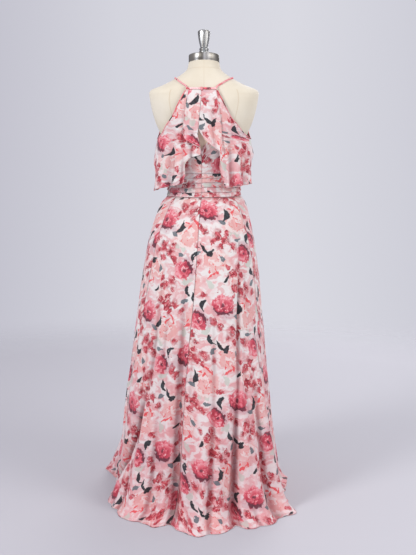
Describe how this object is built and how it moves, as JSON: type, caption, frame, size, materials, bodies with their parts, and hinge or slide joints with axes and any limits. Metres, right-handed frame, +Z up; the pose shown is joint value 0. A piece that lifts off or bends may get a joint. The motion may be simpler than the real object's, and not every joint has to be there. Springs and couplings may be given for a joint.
{
  "type": "maxi dress on a limbless dress form",
  "caption": "Sleeveless floor-length chiffon dress with a parted popover bodice and a pleated waist, shown on a limbless dress form with a steel stand.",
  "frame": {"origin": "middle of the round base's underside, on the form's axis, at floor level", "axes": "+Z up; the back of the dress faces -Y; +X towards the wearer's right side"},
  "size_m": [0.7051, 0.8468, 1.6885],
  "materials": {
    "chiffon": "sheer printed chiffon over a plain lining",
    "binding": "self binding, slight sheen",
    "linen": "matt unbleached linen",
    "steel": "brushed",
    "zip_tape": "woven tape",
    "zip_metal": "painted to match the cloth"
  },
  "bodies": {
    "root": {"form_torso": "linen", "neck_cap": "steel", "finial": "steel", "stand_pole": "steel", "stand_base": "steel", "skirt_back_left": "chiffon", "skirt_back_right": "chiffon", "skirt_front": "chiffon", "waistband_back_left": "chiffon", "waistband_back_right": "chiffon", "waistband_front": "chiffon", "bodice_back_left": "chiffon", "bodice_back_right": "chiffon", "bodice_front": "chiffon", "overlay_back_left": "chiffon", "overlay_back_right": "chiffon", "overlay_front": "chiffon", "cascade_left": "chiffon", "cascade_right": "chiffon", "neck_binding_back_left": "binding", "neck_binding_back_right": "binding", "neck_binding_front": "binding", "armhole_binding_left": "binding", "armhole_binding_right": "binding", "strap_left": "binding", "strap_right": "binding", "button": "binding", "button_loop": "binding", "zip": "zip_tape", "zip_slider": "zip_metal"}
  },
  "joints": []
}
